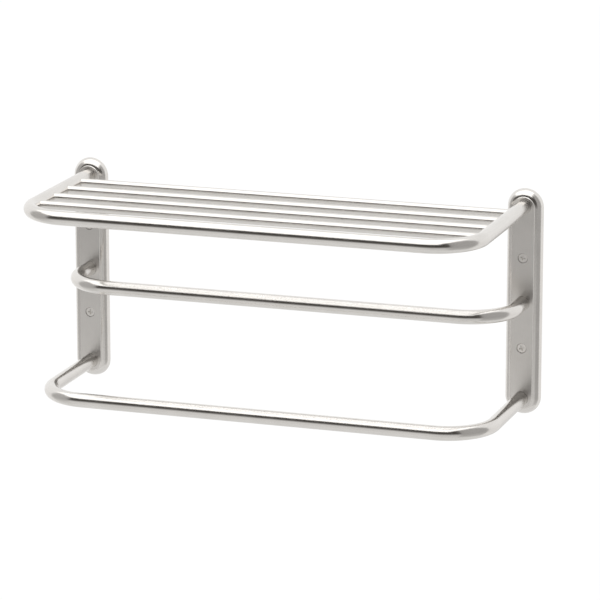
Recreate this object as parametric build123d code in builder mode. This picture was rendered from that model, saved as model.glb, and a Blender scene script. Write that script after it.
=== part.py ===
from build123d import *

import os
from math import radians, tan

# Wall-mounted towel rack: a shelf of cross rods in a bent rail, over two plain towel bars.
# X runs along the wall, Y points into the wall and Z is up. The origin lies on the wall plane,
# halfway between the two wall plates and halfway up them. All sizes are in millimetres.

# Layout
PLATE_SPACING = 508.0  # between the centre lines of the two wall plates
PLATE_HEIGHT = 254.0
PLATE_WIDTH = 40.8
BAR_END_DISTANCE = 19.0  # from a plate's end to the axis of the shelf rail or the lower bar
SHELF_PROJECTION = 228.0  # from the wall to the front of the shelf rail
MIDDLE_PROJECTION = 95.8
LOWER_PROJECTION = 177.8

# Bent tubes and shelf rods
TUBE_DIAMETER = 15.9
TUBE_WALL = 1.2
BEND_RADIUS = 52.5  # along the tube's axis
ROD_DIAMETER = 9.5
ROD_COUNT = 4
REAR_ROD_DEPTH = 45.9  # from the wall to the axis of the rod nearest to it
FRONT_ROD_TO_BEND = 2.6  # from the front rod's axis to the start of the rail's bend
ROD_ENTRY = 3.0  # how far a rod's end passes the inside of the rail's wall
ROD_FIT = 0.05  # radial gap between a rod and its hole
ROD_END_CHAMFER = 0.6

# Wall plate casting
EDGE_DRAFT = 20.0  # lean of the plate's outer wall, in degrees from square
BORDER_RADIUS = 8.0  # of the round between that wall and the front
PAD_INSET = 7.5  # from the plate's edge to the foot of the flat pad
PAD_RAISE = 1.0  # height above the border
PAD_ROOT = 0.5  # how far the pad's foot lies below the border's crown
PAD_DRAFT = 30.0
RIM_WALL = 3.0  # thickness of the casting's border, and width of its face on the wall
FACE_WALL = 3.0  # thickness of the casting behind the pad
SOCKET_DEPTH = 2.0  # shallow seat that takes a tube's end
SOCKET_CLEARANCE = 0.1
SEAT_WALL = 3.0  # metal between a socket's floor and the washer behind it
BOSS_WALL = 3.5  # metal round a screw hole's largest diameter
RIB_WIDTH = 2.5
RIB_SETBACK = 1.5  # from the wall to the edge of the stiffening rib

# Screws that hold the tubes, driven from behind the plates into tapped plugs
BAR_SCREW_DIAMETER = 6.0
BAR_SCREW_HEAD_DIAMETER = 11.0
BAR_SCREW_HEAD_HEIGHT = 2.6
BAR_SCREW_HEAD_CHAMFER = 0.8
BAR_SCREW_ENGAGEMENT = 10.0  # length inside the plug
THREAD_CLEARANCE = 0.05
SCREW_HOLE_CLEARANCE = 0.3
WASHER_DIAMETER = 11.0
WASHER_THICKNESS = 1.5
WASHER_SPLIT = 1.0
HEAD_SETBACK = 0.5  # from the wall to the heads of the bar screws
PLUG_LENGTH = 16.0
PLUG_FIT = 0.05
PLUG_CHAMFER = 0.8

# Wall screws with flat heads, set a little below the pad in countersinks with straight mouths
WALL_SCREW_SPACING = 101.6
WALL_SCREW_HEAD_DIAMETER = 10.4
WALL_SCREW_HEAD_EDGE = 0.4  # straight edge between the head's face and its cone
WALL_SCREW_LENGTH = 38.0  # from the head's face to the point
WALL_SCREW_SHANK_DIAMETER = 4.2
WALL_SCREW_THREAD_DIAMETER = 5.5
WALL_SCREW_POINT = 6.0
COUNTERSINK_DIAMETER = 11.2
COUNTERSINK_MOUTH = 0.95  # straight depth above the cone
COUNTERSINK_ANGLE = 82.0
COUNTERSINK_CLEARANCE = 0.1  # radial gap between a head's cone and its countersink

# Derived places and sizes
half_spacing = PLATE_SPACING / 2
tube_radius = TUBE_DIAMETER / 2
bore_radius = tube_radius - TUBE_WALL
bar_height = PLATE_HEIGHT / 2 - BAR_END_DISTANCE
plate_thickness = SOCKET_DEPTH + SEAT_WALL + WASHER_THICKNESS + BAR_SCREW_HEAD_HEIGHT + HEAD_SETBACK
socket_floor = plate_thickness - SOCKET_DEPTH
washer_seat = socket_floor - SEAT_WALL
border_height = plate_thickness - PAD_RAISE
cavity_depth = plate_thickness - FACE_WALL
cavity_radius = BORDER_RADIUS - RIM_WALL
wall_head_radius = WALL_SCREW_HEAD_DIAMETER / 2
wall_hole_radius = WALL_SCREW_THREAD_DIAMETER / 2 + SCREW_HOLE_CLEARANCE
cone_slope = tan(radians(COUNTERSINK_ANGLE / 2))
cone_drop = (COUNTERSINK_DIAMETER / 2 - wall_head_radius - COUNTERSINK_CLEARANCE) / cone_slope
head_sink = COUNTERSINK_MOUTH + cone_drop - WALL_SCREW_HEAD_EDGE
bar_hole_radius = BAR_SCREW_DIAMETER / 2 + SCREW_HOLE_CLEARANCE

plate_centres = {"left": -half_spacing, "right": half_spacing}
bar_heights = {"shelf": bar_height, "middle": 0.0, "lower": -bar_height}
projections = {"shelf": SHELF_PROJECTION, "middle": MIDDLE_PROJECTION, "lower": LOWER_PROJECTION}
wall_screw_heights = {"upper": WALL_SCREW_SPACING / 2, "lower": -WALL_SCREW_SPACING / 2}

front_rod_depth = SHELF_PROJECTION - tube_radius - BEND_RADIUS - FRONT_ROD_TO_BEND
rod_pitch = (front_rod_depth - REAR_ROD_DEPTH) / (ROD_COUNT - 1)
rod_depths = [REAR_ROD_DEPTH + rod_pitch * i for i in range(ROD_COUNT)]


def wall_plane(depth):
    """The plane parallel to the wall at this distance in front of it, facing into the room."""
    return Plane(origin=(0, -depth, 0), x_dir=(1, 0, 0), z_dir=(0, -1, 0))


def front_edges(part):
    return part.faces().sort_by(Axis.Y)[0].outer_wire().edges()


def wall_plate(x):
    """A hollow casting with a leaning, rounded border, a raised pad, sockets and bosses."""
    bars = [(x, z) for z in bar_heights.values()]
    screws = [(x, z) for z in wall_screw_heights.values()]

    with BuildPart() as cavity:
        with BuildSketch(Plane.XZ):
            with Locations((x, 0)):
                SlotOverall(PLATE_HEIGHT - 2 * RIM_WALL, PLATE_WIDTH - 2 * RIM_WALL, rotation=90)
        extrude(amount=cavity_depth, taper=EDGE_DRAFT)
        fillet(front_edges(cavity), cavity_radius)

    with BuildPart() as plate:
        with BuildSketch(Plane.XZ):
            with Locations((x, 0)):
                SlotOverall(PLATE_HEIGHT, PLATE_WIDTH, rotation=90)
        extrude(amount=border_height, taper=EDGE_DRAFT)
        fillet(front_edges(plate), BORDER_RADIUS)
        with BuildSketch(wall_plane(border_height - PAD_ROOT)):
            with Locations((x, 0)):
                SlotOverall(PLATE_HEIGHT - 2 * PAD_INSET, PLATE_WIDTH - 2 * PAD_INSET, rotation=90)
        extrude(amount=PAD_ROOT + PAD_RAISE, taper=PAD_DRAFT)
        add(cavity.part, mode=Mode.SUBTRACT)

        # A rib down the middle stops short of the bar screws' heads
        with BuildSketch(wall_plane(RIB_SETBACK)):
            with Locations((x, 0)):
                Rectangle(RIB_WIDTH, 2 * bar_height)
            with Locations(*bars):
                Circle(WASHER_DIAMETER / 2 + BOSS_WALL, mode=Mode.SUBTRACT)
        extrude(amount=cavity_depth - RIB_SETBACK)

        # Bosses under the tubes stop at the washers, and those round the wall screws reach the wall
        with BuildSketch(wall_plane(washer_seat)):
            with Locations(*bars):
                Circle(WASHER_DIAMETER / 2 + BOSS_WALL)
        extrude(amount=socket_floor - washer_seat)
        with BuildSketch(Plane.XZ):
            with Locations(*screws):
                Circle(wall_hole_radius + BOSS_WALL)
        extrude(amount=cavity_depth)

        with BuildSketch(wall_plane(socket_floor)):
            with Locations(*bars):
                Circle(tube_radius + SOCKET_CLEARANCE)
        extrude(amount=SOCKET_DEPTH, mode=Mode.SUBTRACT)
        with BuildSketch(wall_plane(washer_seat)):
            with Locations(*bars):
                Circle(bar_hole_radius)
        extrude(amount=SEAT_WALL, mode=Mode.SUBTRACT)
        with BuildSketch(wall_plane(plate_thickness)):
            with Locations(*screws):
                Circle(COUNTERSINK_DIAMETER / 2)
        extrude(amount=-COUNTERSINK_MOUTH, mode=Mode.SUBTRACT)
        with Locations(wall_plane(plate_thickness - COUNTERSINK_MOUTH)):
            with Locations(*screws):
                CounterSinkHole(
                    wall_hole_radius,
                    COUNTERSINK_DIAMETER / 2,
                    counter_sink_angle=COUNTERSINK_ANGLE,
                )
    return plate.part


def bent_tube(height, projection, hole_depths=()):
    """A tube bent into a U, its ends seated in the plates' sockets, drilled inside for cross rods."""
    axis_depth = projection - tube_radius
    corners = [
        (-half_spacing, -socket_floor),
        (-half_spacing, -axis_depth),
        (half_spacing, -axis_depth),
        (half_spacing, -socket_floor),
    ]
    with BuildPart() as tube:
        with BuildLine(Plane.XY.offset(height)) as route:
            FilletPolyline(*corners, radius=BEND_RADIUS)
        with BuildSketch(wall_plane(socket_floor)):
            with Locations((-half_spacing, height)):
                Circle(tube_radius)
                Circle(bore_radius, mode=Mode.SUBTRACT)
        sweep(path=route.line)
        if hole_depths:
            with BuildSketch(Plane.YZ.offset(-half_spacing)):
                with Locations(*[(-depth, height) for depth in hole_depths]):
                    Circle(ROD_DIAMETER / 2 + ROD_FIT)
            extrude(amount=PLATE_SPACING, mode=Mode.SUBTRACT)
    return tube.part


def shelf_rod(depth):
    """A straight rod whose ends pass through the inner walls of the rail's arms."""
    half_length = half_spacing - bore_radius + ROD_ENTRY
    with BuildPart() as rod:
        with BuildSketch(Plane.YZ):
            with Locations((-depth, bar_height)):
                Circle(ROD_DIAMETER / 2)
        extrude(amount=half_length, both=True)
        chamfer(rod.edges().filter_by(GeomType.CIRCLE), ROD_END_CHAMFER)
    return rod.part


def end_plug(x, z):
    """A tapped plug, flush with a tube's end."""
    with BuildPart() as plug:
        with BuildSketch(wall_plane(socket_floor)):
            with Locations((x, z)):
                Circle(bore_radius - PLUG_FIT)
        extrude(amount=PLUG_LENGTH)
        chamfer(front_edges(plug), PLUG_CHAMFER)
        with BuildSketch(wall_plane(socket_floor)):
            with Locations((x, z)):
                Circle(BAR_SCREW_DIAMETER / 2 + THREAD_CLEARANCE)
        extrude(amount=PLUG_LENGTH, mode=Mode.SUBTRACT)
    return plug.part


def lock_washer(x, z):
    """A split spring washer, pressed flat on its boss."""
    with BuildPart() as washer:
        with BuildSketch(wall_plane(washer_seat - WASHER_THICKNESS)):
            with Locations((x, z)):
                Circle(WASHER_DIAMETER / 2)
                Circle(bar_hole_radius, mode=Mode.SUBTRACT)
            with Locations((x, z + WASHER_DIAMETER / 2)):
                Rectangle(WASHER_SPLIT, WASHER_DIAMETER, mode=Mode.SUBTRACT)
        extrude(amount=WASHER_THICKNESS)
    return washer.part


def bar_screw(x, z):
    """A machine screw that draws a tube into its socket."""
    head_plane = wall_plane(washer_seat - WASHER_THICKNESS)
    shank_length = WASHER_THICKNESS + SEAT_WALL + BAR_SCREW_ENGAGEMENT
    with BuildPart() as screw:
        with BuildSketch(head_plane):
            with Locations((x, z)):
                Circle(BAR_SCREW_HEAD_DIAMETER / 2)
        extrude(amount=-BAR_SCREW_HEAD_HEIGHT)
        chamfer(screw.faces().sort_by(Axis.Y)[-1].edges(), BAR_SCREW_HEAD_CHAMFER)
        with BuildSketch(head_plane):
            with Locations((x, z)):
                Circle(BAR_SCREW_DIAMETER / 2)
        extrude(amount=shank_length)
    return screw.part


def wall_screw(x, z):
    """A flat countersunk screw: head, cone, plain shank up to the wall, threaded length and point."""
    shank_radius = WALL_SCREW_SHANK_DIAMETER / 2
    thread_radius = WALL_SCREW_THREAD_DIAMETER / 2
    face = head_sink - plate_thickness
    cone_start = face + WALL_SCREW_HEAD_EDGE
    cone_end = cone_start + (wall_head_radius - shank_radius) / cone_slope
    point = face + WALL_SCREW_LENGTH
    with BuildPart() as screw:
        with BuildSketch(Plane(origin=(x, 0, z))):
            Polygon(
                (0, face),
                (wall_head_radius, face),
                (wall_head_radius, cone_start),
                (shank_radius, cone_end),
                (shank_radius, 0),
                (thread_radius, 0),
                (thread_radius, point - WALL_SCREW_POINT),
                (0, point),
                align=None,
            )
        revolve(axis=Axis((x, 0, z), (0, 1, 0)))
    return screw.part


os.makedirs("parts", exist_ok=True)


def save(part, name):
    part.label = name
    export_step(part, f"parts/{name}.step")


for side, x in plate_centres.items():
    save(wall_plate(x), f"wall_plate_{side}")
    for level, z in wall_screw_heights.items():
        save(wall_screw(x, z), f"wall_screw_{side}_{level}")
    for bar, z in bar_heights.items():
        save(end_plug(x, z), f"end_plug_{bar}_{side}")
        save(lock_washer(x, z), f"lock_washer_{bar}_{side}")
        save(bar_screw(x, z), f"bar_screw_{bar}_{side}")

save(bent_tube(bar_heights["shelf"], projections["shelf"], rod_depths), "shelf_rail")
save(bent_tube(bar_heights["middle"], projections["middle"]), "middle_bar")
save(bent_tube(bar_heights["lower"], projections["lower"]), "lower_bar")
for number, depth in enumerate(rod_depths, start=1):
    save(shelf_rod(depth), f"shelf_rod_{number}")
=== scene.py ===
from dataclasses import dataclass
from math import atan2, cos, pi, radians, sin, tan

import bmesh
import bpy
from mathutils import Matrix, Vector


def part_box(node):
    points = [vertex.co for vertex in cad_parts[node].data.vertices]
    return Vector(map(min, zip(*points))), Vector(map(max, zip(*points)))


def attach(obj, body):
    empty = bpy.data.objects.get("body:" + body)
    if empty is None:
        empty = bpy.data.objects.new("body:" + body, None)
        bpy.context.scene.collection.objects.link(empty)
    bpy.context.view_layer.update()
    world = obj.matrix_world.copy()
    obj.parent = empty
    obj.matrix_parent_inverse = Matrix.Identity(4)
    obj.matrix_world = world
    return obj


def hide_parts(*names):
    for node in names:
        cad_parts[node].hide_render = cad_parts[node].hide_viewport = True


# Wall-mounted towel rack in satin nickel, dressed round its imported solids. Lengths are in metres.
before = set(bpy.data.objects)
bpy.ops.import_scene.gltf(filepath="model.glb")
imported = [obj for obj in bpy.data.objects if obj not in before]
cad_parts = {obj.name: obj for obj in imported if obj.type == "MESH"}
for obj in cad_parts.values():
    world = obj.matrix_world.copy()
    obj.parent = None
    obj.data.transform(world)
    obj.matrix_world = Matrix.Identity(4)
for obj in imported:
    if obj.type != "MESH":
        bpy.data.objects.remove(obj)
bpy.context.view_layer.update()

# Camera
IMAGE_SIZE = 600  # pixels, square
FOCAL_LENGTH = 3775.5  # pixels
SENSOR_WIDTH = 36.0  # millimetres, as Blender counts it
CAMERA_POSITION = Vector((1.3003, -3.8789, 1.0082))
CAMERA_AZIMUTH = radians(18.603)
CAMERA_ELEVATION = radians(14.091)

# Stage and light. Angles are in degrees as seen from the rack, azimuths from straight ahead towards +X.
FLOOR_LEVEL = -1.6
FLOOR_SIZE = 200.0
FLOOR_PAINT_WITH_SHADE = (0.68, 0.87)  # near the rack, darkened there as painted shade, and away from it
FLOOR_SHADE_FADE = (1.8, 3.4)  # distances from the rack between which the painted shade fades into the paler paint
FLOOR_GLOW = 0.15
SCREEN_RADIUS = 1.5
SCREEN_STEP = 2
SCREEN_WARMTH = 0.005  # added to the red of a screen and taken from its blue
SCREENS = {  # elevation of the upper edge by azimuth, then brightness by elevation
    "screen_left": (((-88, 41), (-47, 29)), ((-45, 0.75), (-27, 0.68), (-16, 0.54), (-10, 0.49))),
    "screen_front_left": (
        ((-47, 29), (8, 31)),
        ((-45, 0.77), (-22, 0.80), (-14, 0.67), (-9, 0.48), (-1, 0.11), (3, 0.065)),
    ),
    "screen_front_right": (
        ((8, 31), (28, 32), (42, 49), (46, 50)),
        ((-45, 0.74), (-23, 0.735), (-14, 0.60), (-9, 0.47), (-1, 0.11), (3, 0.065)),
    ),
    "screen_right": (((46, 50), (101, 62)), ((-45, 0.63), (-31, 0.52), (-17, 0.445), (-10, 0.43))),
    "screen_back_left": (((-122, 5), (-88, 5)), ((-45, 0.87), (-3, 0.95), (5, 1.0))),
    "screen_back_right": (((101, 5), (150, 5)), ((-45, 0.90), (-17, 0.92), (5, 0.98))),
    "screen_back": (((150, 8), (192, 8)), ((-45, 0.84), (-20, 0.78), (-3, 0.91), (8, 0.96))),
}
SOFTBOX_HEIGHT = 2.6
SOFTBOX_SIDES = (-3.2, 1.5)
SOFTBOX_DEPTH = (-3.8, 1.1)
SOFTBOX_STRENGTH = 1.6

# Finishes. Colours and roughness go from one end to the other with the hairlines and the clouds.
NICKEL = ((0.708, 0.685, 0.655), (0.778, 0.754, 0.723))
ZINC = ((0.52, 0.53, 0.54), (0.62, 0.62, 0.60))
HAIRLINE_DETAIL = 3.0
CLOUD_SCALE = 45.0  # clouds per metre
CLOUD_DETAIL = 4.0
WEAR_RANGE = (0.7, 1.3)  # sums of the two noises that stand for the two ends
SCRATCH_DEPTH = 0.00002
PAD_EDGE = (0.0092, 0.0095)  # depths in front of the wall between which the plates' pads turn frosted
PAD_FROST = 0.13  # added to the roughness there
STRAIGHTENED = "straightened"  # attribute that holds a point's place on a tube before it was bent

# Tube bends and ends that a node's box doesn't give
BEND_RADIUS = 0.0525
TUBE_WALL = 0.0012
ROD_FIT = 0.00005
ROD_END_CHAMFER = 0.0006
RING_SEGMENTS = 96
BEND_STEPS = 40
ARM_STEPS = 24
WALL_LEAN = 0.9  # cosine to the way from the axis, above which a face belongs to a tube's round walls
SHARP_ANGLE = radians(30)

# Screws
SCREW_SEGMENTS = 40
THREAD_STEPS = 8  # across one pitch
WALL_SHANK_RADIUS = 0.0021
WALL_CREST_RADIUS = 0.00275
WALL_THREAD_PITCH = 0.0018
WALL_POINT_LENGTH = 0.006
WALL_CONE_ANGLE = radians(82)
WALL_HEAD_EDGE = 0.0004
WALL_HEAD_CHAMFER = 0.00015
BAR_SHANK_RADIUS = 0.003
BAR_CORE_RADIUS = 0.0025
BAR_THREAD_PITCH = 0.001
BAR_HEAD_HEIGHT = 0.0026
BAR_HEAD_CHAMFER = 0.0008
BAR_NECK = (0.0015, 0.0027)  # where the shank narrows to the thread's core, from under the head
BAR_PLAIN_LENGTH = 0.003
POINT_RADIUS = 0.0001
SCREW_TURN = radians(35)  # from one screw's cross to the next one's
RECESS_DEPTH = 0.0014
RECESS_MOUTH = (0.0028, 0.0006)  # half length and half width of the cross's arms at the face
RECESS_FLOOR = (0.0018, 0.0004)

INTO_WALL = Vector((0, 1, 0))
UP = Vector((0, 0, 1))


# Node helpers

def node_tree(owner):
    """The empty node tree of a material or a world."""
    owner.use_nodes = True
    owner.node_tree.nodes.clear()
    return owner.node_tree


def add_node(tree, kind, inputs=None, **settings):
    """A new node with these settings, its inputs set to values or linked to other nodes' outputs."""
    node = tree.nodes.new(kind)
    for key, value in settings.items():
        setattr(node, key, value)
    for key, value in (inputs or {}).items():
        if isinstance(value, bpy.types.NodeSocket):
            tree.links.new(value, node.inputs[key])
        else:
            node.inputs[key].default_value = value
    return node


def seen_or_mirrored(tree):
    """1 for rays from the camera, from gloss and through glass, and 0 for the light on surfaces."""
    ray = add_node(tree, "ShaderNodeLightPath").outputs
    pair = {0: ray["Is Camera Ray"], 1: ray["Is Glossy Ray"]}
    first = add_node(tree, "ShaderNodeMath", pair, operation="MAXIMUM").outputs[0]
    pair = {0: first, 1: ray["Is Transmission Ray"]}
    return add_node(tree, "ShaderNodeMath", pair, operation="MAXIMUM").outputs[0]


# Materials

def satin_metal(name, colours, roughness, grain, bump, coordinates=None):
    """Brushed plated metal: long fine hairlines over a faint cloudiness, in colour, gloss and relief.

    grain is the hairlines per metre along each axis of the rack's own frame, or of the mesh attribute
    that coordinates names.
    """
    material = bpy.data.materials.new(name)
    tree = node_tree(material)
    if coordinates:
        source = add_node(tree, "ShaderNodeAttribute", attribute_name=coordinates).outputs["Vector"]
    else:
        source = add_node(tree, "ShaderNodeTexCoord").outputs["Object"]

    stretched = add_node(tree, "ShaderNodeMapping", {"Vector": source, "Scale": grain}).outputs[0]
    noise = {"Vector": stretched, "Scale": 1.0, "Detail": HAIRLINE_DETAIL}
    hairlines = add_node(tree, "ShaderNodeTexNoise", noise).outputs["Fac"]
    noise = {"Vector": source, "Scale": CLOUD_SCALE, "Detail": CLOUD_DETAIL}
    clouds = add_node(tree, "ShaderNodeTexNoise", noise).outputs["Fac"]
    both = add_node(tree, "ShaderNodeMath", {0: hairlines, 1: clouds}, operation="ADD").outputs[0]
    low, high = WEAR_RANGE
    span = {"Value": both, "From Min": low, "From Max": high}
    wear = add_node(tree, "ShaderNodeMapRange", span).outputs[0]

    tint = add_node(tree, "ShaderNodeValToRGB", {"Fac": wear})
    for element, colour in zip(tint.color_ramp.elements, colours):
        element.color = (*colour, 1)
    span = {"Value": wear, "To Min": roughness[0], "To Max": roughness[1]}
    gloss = add_node(tree, "ShaderNodeMapRange", span)
    relief = {"Height": hairlines, "Strength": bump, "Distance": SCRATCH_DEPTH}
    scratches = add_node(tree, "ShaderNodeBump", relief)
    surface = {
        "Base Color": tint.outputs["Color"],
        "Metallic": 1.0,
        "Roughness": gloss.outputs[0],
        "Normal": scratches.outputs[0],
    }
    shader = add_node(tree, "ShaderNodeBsdfPrincipled", surface)
    add_node(tree, "ShaderNodeOutputMaterial", {"Surface": shader.outputs[0]})
    return material


def frost_front(material, depths, amount):
    """Roughens a satin metal from the first depth in front of the wall to the second."""
    tree = material.node_tree
    roughness = tree.nodes["Principled BSDF"].inputs["Roughness"]
    gloss = roughness.links[0].from_socket
    place = add_node(tree, "ShaderNodeTexCoord").outputs["Object"]
    split = add_node(tree, "ShaderNodeSeparateXYZ", {0: place})
    span = {"Value": split.outputs["Y"], "From Min": -depths[0], "From Max": -depths[1], "To Max": amount}
    frost = add_node(tree, "ShaderNodeMapRange", span).outputs[0]
    total = add_node(tree, "ShaderNodeMath", {0: gloss, 1: frost}, operation="ADD")
    tree.links.new(total.outputs[0], roughness)


tube_nickel = satin_metal(
    "tube_nickel",
    NICKEL,
    roughness=(0.16, 0.24),
    grain=(2500, 2500, 40),
    bump=0.3,
    coordinates=STRAIGHTENED,
)
plate_nickel = satin_metal("plate_nickel", NICKEL, roughness=(0.16, 0.24), grain=(2500, 2500, 60), bump=0.3)
frost_front(plate_nickel, PAD_EDGE, PAD_FROST)
screw_nickel = satin_metal("screw_nickel", NICKEL, roughness=(0.17, 0.25), grain=(900, 900, 900), bump=0.1)
zinc_steel = satin_metal("zinc_steel", ZINC, roughness=(0.28, 0.45), grain=(700, 700, 700), bump=0.08)


# Meshes

def add_piece(name, mesh, node, material):
    """Adds a piece on the rack's one body that stands for a node."""
    piece = bpy.data.objects.new(name, mesh)
    bpy.context.scene.collection.objects.link(piece)
    mesh.materials.clear()
    mesh.materials.append(material)
    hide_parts(node)
    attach(piece, "root")


def mesh_from(bm, name):
    """A mesh of what was built, with its faces turned outwards."""
    bmesh.ops.recalc_face_normals(bm, faces=bm.faces)
    mesh = bpy.data.meshes.new(name)
    bm.to_mesh(mesh)
    bm.free()
    return mesh


def level_ring(bm, centre, across, radius):
    """A ring of vertices round a level axis, which across is square to."""
    ring = []
    for i in range(RING_SEGMENTS):
        angle = 2 * pi * i / RING_SEGMENTS
        ring.append(bm.verts.new(centre + (across * cos(angle) + UP * sin(angle)) * radius))
    return ring


def join_rings(bm, rings):
    """Quads between each ring of vertices and the next."""
    for near, far in zip(rings, rings[1:]):
        for i in range(len(near)):
            j = (i + 1) % len(near)
            bm.faces.new((near[i], near[j], far[j], far[i]))


def cut(mesh, cutters):
    """The mesh with the cutters taken out of it."""
    scene = bpy.context.scene
    body = bpy.data.objects.new("cut_body", mesh)
    tool = bpy.data.objects.new("cut_tool", cutters)
    for thing in (body, tool):
        scene.collection.objects.link(thing)
    boolean = body.modifiers.new("cut", "BOOLEAN")
    boolean.object = tool
    boolean.operation = "DIFFERENCE"
    boolean.solver = "EXACT"
    made = bpy.data.meshes.new_from_object(body.evaluated_get(bpy.context.evaluated_depsgraph_get()))
    for thing in (body, tool):
        bpy.data.objects.remove(thing)
    made.name = mesh.name
    return made


def smooth_round(mesh):
    """Smooth shading, but for the sharp edges."""
    for face in mesh.polygons:
        face.use_smooth = True
    mesh.set_sharp_from_angle(angle=SHARP_ANGLE)


class Route:
    """The U of a bent tube, from the left plate round to the right one, read from its node."""

    def __init__(self, node):
        low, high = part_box(node)
        self.radius = (high.z - low.z) / 2
        self.height = (high.z + low.z) / 2
        self.side = high.x - self.radius
        self.front = low.y + self.radius
        self.end = high.y
        self.arm = self.end - self.front - BEND_RADIUS
        self.bend = BEND_RADIUS * pi / 2
        self.run = 2 * (self.side - BEND_RADIUS)

    def place(self, distance):
        """The axis point at this distance along the tube, and the level direction to its left."""
        corner_y = self.front + BEND_RADIUS
        if distance <= self.arm:
            return Vector((-self.side, self.end - distance, self.height)), Vector((1, 0, 0))
        distance -= self.arm
        if distance <= self.bend:
            turn = pi + distance / BEND_RADIUS
            return self.on_bend(-self.side + BEND_RADIUS, corner_y, turn)
        distance -= self.bend
        if distance <= self.run:
            x = -self.side + BEND_RADIUS + distance
            return Vector((x, self.front, self.height)), INTO_WALL
        distance -= self.run
        if distance <= self.bend:
            turn = 1.5 * pi + distance / BEND_RADIUS
            return self.on_bend(self.side - BEND_RADIUS, corner_y, turn)
        distance -= self.bend
        return Vector((self.side, corner_y + distance, self.height)), Vector((-1, 0, 0))

    def on_bend(self, x, y, turn):
        """The same for a bend, from its centre and the angle round it."""
        outward = Vector((cos(turn), sin(turn), 0))
        return Vector((x, y, self.height)) + outward * BEND_RADIUS, -outward

    def distances(self):
        """Where the tube's rings go: evenly along the arms and the bends, and once along the front."""
        stops = [self.arm * i / ARM_STEPS for i in range(ARM_STEPS)]
        stops += [self.arm + self.bend * i / BEND_STEPS for i in range(BEND_STEPS + 1)]
        whole = 2 * (self.arm + self.bend) + self.run
        return stops + [whole - stop for stop in reversed(stops)]

    def locate(self, point):
        """How far along the tube a point lies, the way to it from the axis, and the way into the U."""
        corner_y = self.front + BEND_RADIUS
        corner_x = self.side - BEND_RADIUS
        sign = 1 if point.x > 0 else -1
        across = abs(point.x) - corner_x
        if point.y >= corner_y:
            half = self.run / 2 + self.bend + point.y - corner_y
            axis = Vector((sign * self.side, point.y, self.height))
            inward = Vector((-sign, 0, 0))
        elif across <= 0:
            half = abs(point.x)
            axis = Vector((point.x, self.front, self.height))
            inward = INTO_WALL
        else:
            turn = atan2(across, corner_y - point.y)
            half = self.run / 2 + BEND_RADIUS * turn
            inward = Vector((-sign * sin(turn), cos(turn), 0))
            axis = Vector((sign * corner_x, corner_y, self.height)) - inward * BEND_RADIUS
        return sign * half, point - axis, inward


def tube_mesh(name, route, holes):
    """A bent tube with its bore, drilled for the rods where there are any."""
    bm = bmesh.new()
    skins = []
    for radius in (route.radius, route.radius - TUBE_WALL):
        places = [route.place(distance) for distance in route.distances()]
        skins.append([level_ring(bm, centre, across, radius) for centre, across in places])
    outer, inner = skins
    join_rings(bm, outer)
    join_rings(bm, inner)
    join_rings(bm, [outer[0], inner[0]])
    join_rings(bm, [outer[-1], inner[-1]])
    mesh = mesh_from(bm, name)
    if holes:
        mesh = cut(mesh, hole_cutters(route, holes))
    smooth_tube(mesh, route)
    return mesh


def hole_cutters(route, holes):
    """Round bars that drill the inner walls of the two arms."""
    reach = (route.side, route.side - 2 * route.radius)
    bm = bmesh.new()
    for sign in (-1, 1):
        for y, radius in holes:
            ends = [Vector((sign * x, y, route.height)) for x in reach]
            rings = [level_ring(bm, end, INTO_WALL, radius) for end in ends]
            join_rings(bm, rings)
            for ring in rings:
                bm.faces.new(ring)
    return mesh_from(bm, "hole_cutters")


def smooth_tube(mesh, route):
    """True round normals on the tube's walls, and the place of each point on the straight tube."""
    located = [route.locate(vertex.co) for vertex in mesh.vertices]
    straight = mesh.attributes.new(STRAIGHTENED, "FLOAT_VECTOR", "POINT")
    for vertex, (along, away, inward) in zip(mesh.vertices, located):
        straight.data[vertex.index].vector = (away.dot(inward), away.z, along)
    normals = [None] * len(mesh.loops)
    for face in mesh.polygons:
        face.use_smooth = True
        for corner in face.loop_indices:
            way = located[mesh.loops[corner].vertex_index][1].normalized()
            lean = way.dot(face.normal)
            normals[corner] = way if lean > WALL_LEAN else -way if lean < -WALL_LEAN else face.normal
    mesh.normals_split_custom_set(normals)


def rod_mesh(name, node):
    """A straight rod with small chamfers on its ends."""
    low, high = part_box(node)
    radius = (high.z - low.z) / 2
    y = (low.y + high.y) / 2
    z = (low.z + high.z) / 2
    outline = [(low.x, radius - ROD_END_CHAMFER), (low.x + ROD_END_CHAMFER, radius)]
    outline += [(-x, r) for x, r in reversed(outline)]
    bm = bmesh.new()
    rings = [level_ring(bm, Vector((x, y, z)), INTO_WALL, r) for x, r in outline]
    join_rings(bm, rings)
    bm.faces.new(rings[0])
    bm.faces.new(rings[-1])
    mesh = mesh_from(bm, name)
    straight = mesh.attributes.new(STRAIGHTENED, "FLOAT_VECTOR", "POINT")
    for vertex in mesh.vertices:
        straight.data[vertex.index].vector = (vertex.co.y, vertex.co.z, vertex.co.x)
    smooth_round(mesh)
    return mesh


@dataclass
class Thread:
    """A right-hand thread along +Y that fades in and out at its ends."""

    start: float
    end: float
    core: float  # radius at the root
    crest: float  # radius at the top
    pitch: float
    flank: float  # share of the pitch on each side of the crest
    taper: float  # length of the point
    tip: float  # radius at the end

    def turns(self):
        """Whole turns that leave room for the slant of the thread."""
        return int((self.end - self.start) / self.pitch) - 1

    def radius(self, y, phase):
        """The radius at a place along the screw, where phase goes from one crest to the next."""
        point = self.tip + (self.core - self.tip) * (self.end - y) / self.taper
        fade_in = (y - self.start) / self.pitch - 1
        fade_out = self.turns() - (y - self.start) / self.pitch
        height = (self.crest - self.core) * min(1, max(0, min(fade_in, fade_out)))
        slope = max(0, 1 - min(phase, 1 - phase) / self.flank)
        return min(self.core, point) + height * slope


def screw_ring(bm, radius, y):
    """A ring of vertices round a screw."""
    angles = [2 * pi * i / SCREW_SEGMENTS for i in range(SCREW_SEGMENTS)]
    return [bm.verts.new((radius * sin(angle), y, radius * cos(angle))) for angle in angles]


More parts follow.
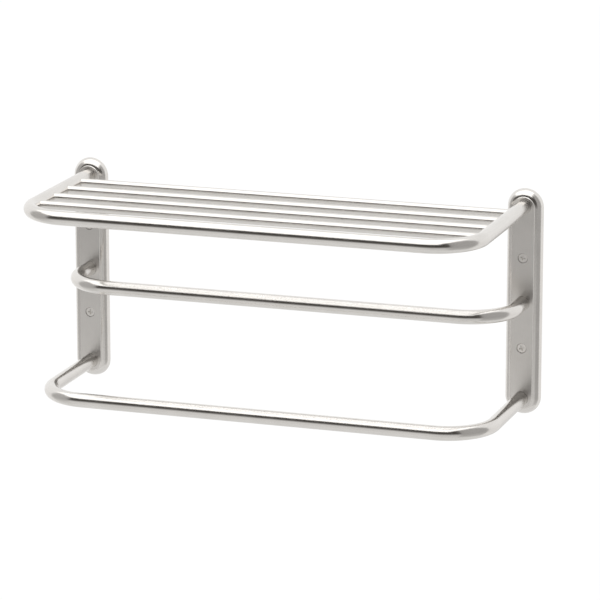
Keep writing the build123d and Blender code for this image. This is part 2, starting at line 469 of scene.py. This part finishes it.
def thread_skin(bm, first, thread, last):
    """Joins two rings by a thread, in columns that each start a little further on than the one before."""
    rows = thread.turns() * THREAD_STEPS
    columns = []
    for i in range(SCREW_SEGMENTS):
        angle = 2 * pi * i / SCREW_SEGMENTS
        column = []
        for k in range(rows + 1):
            y = thread.start + thread.pitch * (k / THREAD_STEPS + i / SCREW_SEGMENTS)
            radius = thread.radius(y, k % THREAD_STEPS / THREAD_STEPS)
            column.append(bm.verts.new((radius * sin(angle), y, radius * cos(angle))))
        columns.append(column)
    for i, (near, far) in enumerate(zip(columns, columns[1:])):
        bm.faces.new((first[i], first[i + 1], far[0], near[0]))
        bm.faces.new((near[-1], far[-1], last[i + 1], last[i]))
        for k in range(rows):
            bm.faces.new((near[k], far[k], far[k + 1], near[k + 1]))

    # Where the columns meet again, the first one is a whole pitch ahead
    near, far = columns[-1], columns[0]
    for k in range(rows - THREAD_STEPS):
        j = k + THREAD_STEPS
        bm.faces.new((near[k], far[j], far[j + 1], near[k + 1]))
    bm.faces.new((first[-1], first[0], *far[:THREAD_STEPS + 1], near[0]))
    bm.faces.new((last[0], last[-1], *reversed(near[-THREAD_STEPS - 1:]), far[-1]))


def cross_cutter():
    """The tapered cross that a driver fits, sunk in the head's face."""
    levels = ((-RECESS_DEPTH, RECESS_MOUTH), (0, RECESS_MOUTH), (RECESS_DEPTH, RECESS_FLOOR))
    bm = bmesh.new()
    rings = []
    for y, (length, width) in levels:
        quarter = [(width, length), (width, width), (length, width)]
        outline = []
        for turn in range(4):
            c, s = cos(turn * pi / 2), sin(turn * pi / 2)
            outline += [(c * x + s * z, c * z - s * x) for x, z in quarter]
        rings.append([bm.verts.new((x, y, z)) for x, z in outline])
    join_rings(bm, rings)
    bm.faces.new(rings[0])
    bm.faces.new(rings[-1])
    return mesh_from(bm, "cross_cutter")


def screw_mesh(name, outline, thread):
    """A screw along +Y with its head's face at the origin, turned to an outline of radius and place."""
    bm = bmesh.new()
    rings = [screw_ring(bm, radius, y) for radius, y in outline]
    last = screw_ring(bm, thread.tip, thread.end)
    join_rings(bm, rings)
    thread_skin(bm, rings[-1], thread, last)
    bm.faces.new(rings[0])
    bm.faces.new(last)
    mesh = cut(mesh_from(bm, name), cross_cutter())
    smooth_round(mesh)
    return mesh


def wall_screw_mesh(node):
    """A flat countersunk screw, plain up to the wall and threaded in it, with a point."""
    low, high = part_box(node)
    head = (high.x - low.x) / 2
    cone_end = WALL_HEAD_EDGE + (head - WALL_SHANK_RADIUS) / tan(WALL_CONE_ANGLE / 2)
    wall = -low.y
    thread = Thread(
        start=wall,
        end=high.y - low.y,
        core=WALL_SHANK_RADIUS,
        crest=WALL_CREST_RADIUS,
        pitch=WALL_THREAD_PITCH,
        flank=0.25,
        taper=WALL_POINT_LENGTH,
        tip=POINT_RADIUS,
    )
    outline = [
        (head - WALL_HEAD_CHAMFER, 0),
        (head, WALL_HEAD_CHAMFER),
        (head, WALL_HEAD_EDGE),
        (WALL_SHANK_RADIUS, cone_end),
        (WALL_SHANK_RADIUS, wall - WALL_THREAD_PITCH / THREAD_STEPS),
    ]
    return screw_mesh("wall_screw", outline, thread)


def bar_screw_mesh(node):
    """A machine screw with a low head, threaded to its end."""
    low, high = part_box(node)
    head = (high.x - low.x) / 2
    thread = Thread(
        start=BAR_HEAD_HEIGHT + BAR_PLAIN_LENGTH,
        end=high.y - low.y,
        core=BAR_CORE_RADIUS,
        crest=BAR_SHANK_RADIUS,
        pitch=BAR_THREAD_PITCH,
        flank=0.5,
        taper=BAR_THREAD_PITCH,
        tip=BAR_CORE_RADIUS - BAR_HEAD_CHAMFER,
    )
    outline = [
        (head - BAR_HEAD_CHAMFER, 0),
        (head, BAR_HEAD_CHAMFER),
        (head, BAR_HEAD_HEIGHT),
        (BAR_SHANK_RADIUS, BAR_HEAD_HEIGHT),
        (BAR_SHANK_RADIUS, BAR_HEAD_HEIGHT + BAR_NECK[0]),
        (BAR_CORE_RADIUS, BAR_HEAD_HEIGHT + BAR_NECK[1]),
    ]
    return screw_mesh("bar_screw", outline, thread)


def place_screws(start, mesh, flip, material):
    """Copies of one screw at each node whose name starts like this, each driven home at its own turn."""
    names = sorted(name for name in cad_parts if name.startswith(start))
    for index, name in enumerate(names):
        low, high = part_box(name)
        face = high.y if flip else low.y
        centre = Vector(((low.x + high.x) / 2, face, (low.z + high.z) / 2))
        turn = Matrix.Rotation(index * SCREW_TURN, 4, "Y")
        facing = Matrix.Rotation(pi if flip else 0, 4, "Z")
        copy = mesh.copy()
        copy.name = f"{name}_threaded"
        copy.transform(Matrix.Translation(centre) @ facing @ turn)
        add_piece(copy.name, copy, name, material)


# The rack

def build_rack():
    """Dresses each node, by a finer piece that stands for it or by a finish of its own."""
    rods = sorted(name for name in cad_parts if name.startswith("shelf_rod"))
    rail_holes = []
    for name in rods:
        low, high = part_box(name)
        rail_holes.append(((low.y + high.y) / 2, (high.z - low.z) / 2 + ROD_FIT))
        add_piece(f"{name}_satin", rod_mesh(f"{name}_satin", name), name, tube_nickel)

    for name, holes in (("shelf_rail", rail_holes), ("middle_bar", []), ("lower_bar", [])):
        mesh = tube_mesh(f"{name}_satin", Route(name), holes)
        add_piece(f"{name}_satin", mesh, name, tube_nickel)

    wall_screw = wall_screw_mesh("wall_screw_left_upper")
    bar_screw = bar_screw_mesh("bar_screw_shelf_left")
    place_screws("wall_screw", wall_screw, False, screw_nickel)
    place_screws("bar_screw", bar_screw, True, zinc_steel)

    finishes = {"wall_plate": plate_nickel, "end_plug": zinc_steel, "lock_washer": zinc_steel}
    for name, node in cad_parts.items():
        for start, material in finishes.items():
            if name.startswith(start):
                node.data.materials.clear()
                node.data.materials.append(material)


# Stage

def stage_object(name, bm, material):
    """An object of the stage, which isn't part of the rack."""
    thing = bpy.data.objects.new(name, mesh_from(bm, name))
    bpy.context.scene.collection.objects.link(thing)
    thing.data.materials.append(material)
    return thing


def floor_material():
    """A pale floor with painted shade below the rack, where it is a little darker, that still takes its
    shadow.
    """
    material = bpy.data.materials.new("floor_pale_painted_shade")
    tree = node_tree(material)
    place = add_node(tree, "ShaderNodeTexCoord").outputs["Object"]
    distance = add_node(tree, "ShaderNodeVectorMath", {0: place}, operation="LENGTH").outputs["Value"]
    # Painted shade: the floor's paint is darker near the rack and grows paler away from it
    span = {
        "Value": distance,
        "From Min": FLOOR_SHADE_FADE[0],
        "From Max": FLOOR_SHADE_FADE[1],
        "To Min": FLOOR_PAINT_WITH_SHADE[0],
        "To Max": FLOOR_PAINT_WITH_SHADE[1],
    }
    shaded_paint = add_node(tree, "ShaderNodeMapRange", span, interpolation_type="SMOOTHSTEP")
    paint = add_node(tree, "ShaderNodeBsdfDiffuse", {"Color": shaded_paint.outputs["Result"]})
    lit = add_node(tree, "ShaderNodeMath", {0: seen_or_mirrored(tree), 1: FLOOR_GLOW}, operation="MULTIPLY")
    glow = add_node(tree, "ShaderNodeEmission", {"Strength": lit.outputs[0]})
    total = add_node(tree, "ShaderNodeAddShader", {0: paint.outputs[0], 1: glow.outputs[0]})
    add_node(tree, "ShaderNodeOutputMaterial", {"Surface": total.outputs[0]})
    return material


def screen_material(name, shades):
    """A screen beside the rack, with its brightness by height."""
    material = bpy.data.materials.new(name)
    tree = node_tree(material)
    place = add_node(tree, "ShaderNodeTexCoord").outputs["Object"]
    split = add_node(tree, "ShaderNodeSeparateXYZ", {0: place})
    span = {"Value": split.outputs["Z"], "From Min": FLOOR_LEVEL, "From Max": -FLOOR_LEVEL}
    level = add_node(tree, "ShaderNodeMapRange", span)
    shade = add_node(tree, "ShaderNodeValToRGB", {"Fac": level.outputs[0]})
    ramp = shade.color_ramp
    while len(ramp.elements) < len(shades):
        ramp.elements.new(1.0)
    for element, (elevation, value) in zip(ramp.elements, shades):
        height = SCREEN_RADIUS * tan(radians(elevation))
        element.position = (height - FLOOR_LEVEL) / (-2 * FLOOR_LEVEL)
        element.color = (value + SCREEN_WARMTH, value, value - SCREEN_WARMTH, 1)
    glow = add_node(tree, "ShaderNodeEmission", {"Color": shade.outputs["Color"]})
    add_node(tree, "ShaderNodeOutputMaterial", {"Surface": glow.outputs[0]})
    return material


def softbox_material():
    """The even glow of the softbox."""
    material = bpy.data.materials.new("softbox")
    tree = node_tree(material)
    glow = add_node(tree, "ShaderNodeEmission", {"Strength": SOFTBOX_STRENGTH})
    add_node(tree, "ShaderNodeOutputMaterial", {"Surface": glow.outputs[0]})
    return material


def wall_between(near, far):
    """Quads between two rows of points."""
    bm = bmesh.new()
    near = [bm.verts.new(point) for point in near]
    far = [bm.verts.new(point) for point in far]
    for i in range(len(near) - 1):
        bm.faces.new((near[i], near[i + 1], far[i + 1], far[i]))
    return bm


def screen_top(tops, azimuth):
    """The height of a screen's upper edge."""
    for (first, low), (last, high) in zip(tops, tops[1:]):
        if azimuth <= last:
            elevation = low + (high - low) * (azimuth - first) / (last - first)
            return SCREEN_RADIUS * tan(radians(elevation))


def build_stage():
    """A floor, screens that only reflections see, and a softbox overhead."""
    half = FLOOR_SIZE / 2
    left, right = [[(x, -half, FLOOR_LEVEL), (x, half, FLOOR_LEVEL)] for x in (-half, half)]
    stage_object("floor", wall_between(left, right), floor_material())

    for name, (tops, shades) in SCREENS.items():
        first, last = tops[0][0], tops[-1][0]
        foot = []
        top = []
        for azimuth in [*range(first, last, SCREEN_STEP), last]:
            x = SCREEN_RADIUS * sin(radians(azimuth))
            y = -SCREEN_RADIUS * cos(radians(azimuth))
            foot.append((x, y, FLOOR_LEVEL))
            top.append((x, y, screen_top(tops, azimuth)))
        screen = stage_object(name, wall_between(foot, top), screen_material(name, shades))
        screen.visible_camera = False
        screen.visible_diffuse = False
        screen.visible_shadow = False

    left, right = [[(x, y, SOFTBOX_HEIGHT) for y in SOFTBOX_DEPTH] for x in SOFTBOX_SIDES]
    softbox = stage_object("softbox", wall_between(left, right), softbox_material())
    softbox.visible_camera = False
    softbox.visible_diffuse = False


def build_world():
    """White all round."""
    world = bpy.data.worlds.new("white_studio")
    bpy.context.scene.world = world
    tree = node_tree(world)
    white = add_node(tree, "ShaderNodeBackground", {"Color": (1, 1, 1, 1), "Strength": 1.0})
    add_node(tree, "ShaderNodeOutputWorld", {"Surface": white.outputs[0]})


def build_camera():
    """A camera where the photograph was taken from."""
    data = bpy.data.cameras.new("camera")
    data.sensor_width = SENSOR_WIDTH
    data.lens = FOCAL_LENGTH / IMAGE_SIZE * SENSOR_WIDTH
    camera = bpy.data.objects.new("camera", data)
    bpy.context.scene.collection.objects.link(camera)
    level = cos(CAMERA_ELEVATION)
    back = Vector((sin(CAMERA_AZIMUTH) * level, -cos(CAMERA_AZIMUTH) * level, sin(CAMERA_ELEVATION)))
    camera.location = CAMERA_POSITION
    camera.rotation_mode = "QUATERNION"
    camera.rotation_quaternion = (-back).to_track_quat("-Z", "Y")
    bpy.context.scene.camera = camera


build_rack()
build_stage()
build_world()
build_camera()
bpy.context.scene.view_settings.view_transform = "Standard"
